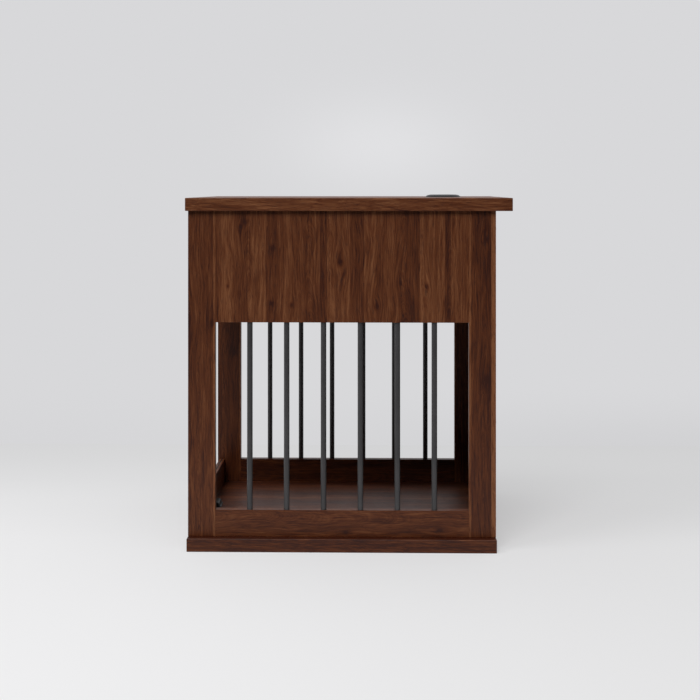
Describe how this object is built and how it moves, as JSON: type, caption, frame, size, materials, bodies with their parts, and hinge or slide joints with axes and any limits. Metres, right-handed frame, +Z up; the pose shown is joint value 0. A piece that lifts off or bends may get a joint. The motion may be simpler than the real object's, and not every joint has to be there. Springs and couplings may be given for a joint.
{
  "type": "dog crate end table",
  "caption": "Wooden end table with a barred dog crate below, a drawer above it, an up-and-over gate that slides away, and a round charging pad set in the top.",
  "frame": {"origin": "middle of the whole table's box, on the underside of the base board", "axes": "+Z up; +X from the open front towards the closed back; -Y towards the barred side that the picture shows"},
  "size_m": [0.637, 0.554, 0.6904],
  "materials": {
    "walnut": "satin walnut, grain along each board",
    "black_steel": "satin black paint",
    "zinc_steel": "zinc plated",
    "black_plastic": "matte black",
    "black_rubber": "matte black",
    "charger_black": "fine satin black"
  },
  "bodies": {
    "cabinet": {"base_board": "walnut", "top_board": "walnut", "near_front_post": "walnut", "near_back_post": "walnut", "near_upper_panel": "walnut", "near_lower_rail": "walnut", "near_bar_1": "black_steel", "near_bar_2": "black_steel", "near_bar_3": "black_steel", "near_bar_4": "black_steel", "near_bar_5": "black_steel", "near_bar_6": "black_steel", "far_front_post": "walnut", "far_back_post": "walnut", "far_upper_panel": "walnut", "far_lower_rail": "walnut", "far_bar_1": "black_steel", "far_bar_2": "black_steel", "far_bar_3": "black_steel", "far_bar_4": "black_steel", "far_bar_5": "black_steel", "far_bar_6": "black_steel", "back_panel": "walnut", "threshold": "walnut", "doorway_seal": "black_rubber", "threshold_block": "black_plastic", "shelf": "walnut", "gate_track_near": "black_plastic", "gate_track_far": "black_plastic", "drawer_runner_near": "zinc_steel", "drawer_runner_far": "zinc_steel", "gate_catch": "black_plastic", "charger_housing": "charger_black", "charger_pad": "black_rubber", "charger_nut": "black_plastic", "top_brackets": "zinc_steel"},
    "drawer": {"drawer_front": "walnut", "drawer_side_near": "walnut", "drawer_side_far": "walnut", "drawer_back": "walnut", "drawer_bottom": "walnut", "drawer_slide_near": "zinc_steel", "drawer_slide_far": "zinc_steel"},
    "gate_carriage": {"gate_slider_near": "black_plastic", "gate_slider_far": "black_plastic", "gate_cross_bar": "black_steel"},
    "gate": {"gate_top_rail": "walnut", "gate_bottom_rail": "walnut", "gate_stile_near": "walnut", "gate_stile_far": "walnut", "gate_bar_1": "black_steel", "gate_bar_2": "black_steel", "gate_bar_3": "black_steel", "gate_bar_4": "black_steel", "gate_bar_5": "black_steel", "gate_pins": "zinc_steel", "gate_strike": "zinc_steel"}
  },
  "joints": [
    {"name": "drawer_slide", "type": "slide", "parent": "cabinet", "child": "drawer", "axis": [-1, 0, 0], "range_m": [0, 0.3]},
    {"name": "gate_slide", "type": "slide", "parent": "cabinet", "child": "gate_carriage", "axis": [-1, 0, 0], "range_m": [0, 0.3755]},
    {"name": "gate_swing", "type": "hinge", "parent": "gate_carriage", "child": "gate", "pos_m": [0.072, 0, 0.462], "axis": [0, -1, 0], "range_deg": [0, 90]}
  ]
}
